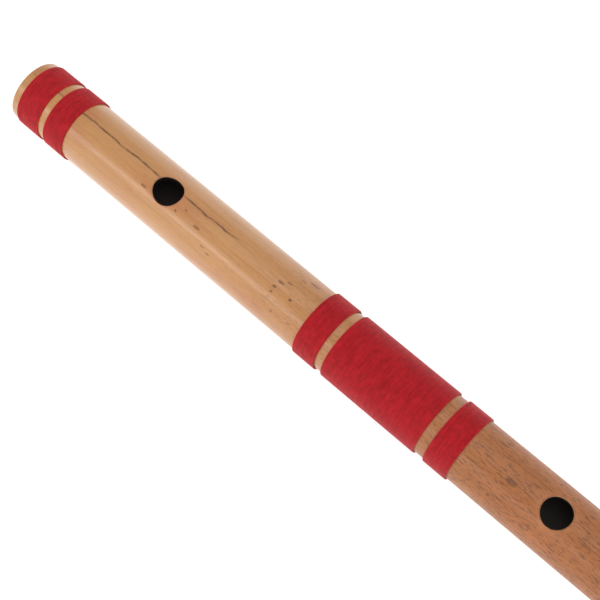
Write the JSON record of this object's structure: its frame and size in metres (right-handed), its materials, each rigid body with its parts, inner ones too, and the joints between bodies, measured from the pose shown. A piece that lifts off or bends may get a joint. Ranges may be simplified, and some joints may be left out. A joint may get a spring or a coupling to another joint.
{
  "type": "bansuri",
  "caption": "Side-blown bamboo flute with a blow hole, finger holes, a cork stopper and bands of wound red thread.",
  "frame": {"origin": "on the bore's axis, halfway along the tube", "axes": "+X along the bore from the head end to the foot end, +Z the way the blow hole and the finger holes open"},
  "size_m": [0.475, 0.0264, 0.0264],
  "materials": {
    "bamboo": "smoothed bare bamboo, satin",
    "cork": "cut cork, matte",
    "red_thread": "tightly wound thread, soft sheen"
  },
  "bodies": {
    "root": {"bamboo_tube": "bamboo", "cork_stopper": "cork", "head_binding_outer": "red_thread", "head_binding_inner": "red_thread", "middle_binding_head_side": "red_thread", "middle_binding_wide": "red_thread", "middle_binding_foot_side": "red_thread", "foot_binding_inner": "red_thread", "foot_binding_outer": "red_thread"}
  },
  "joints": []
}
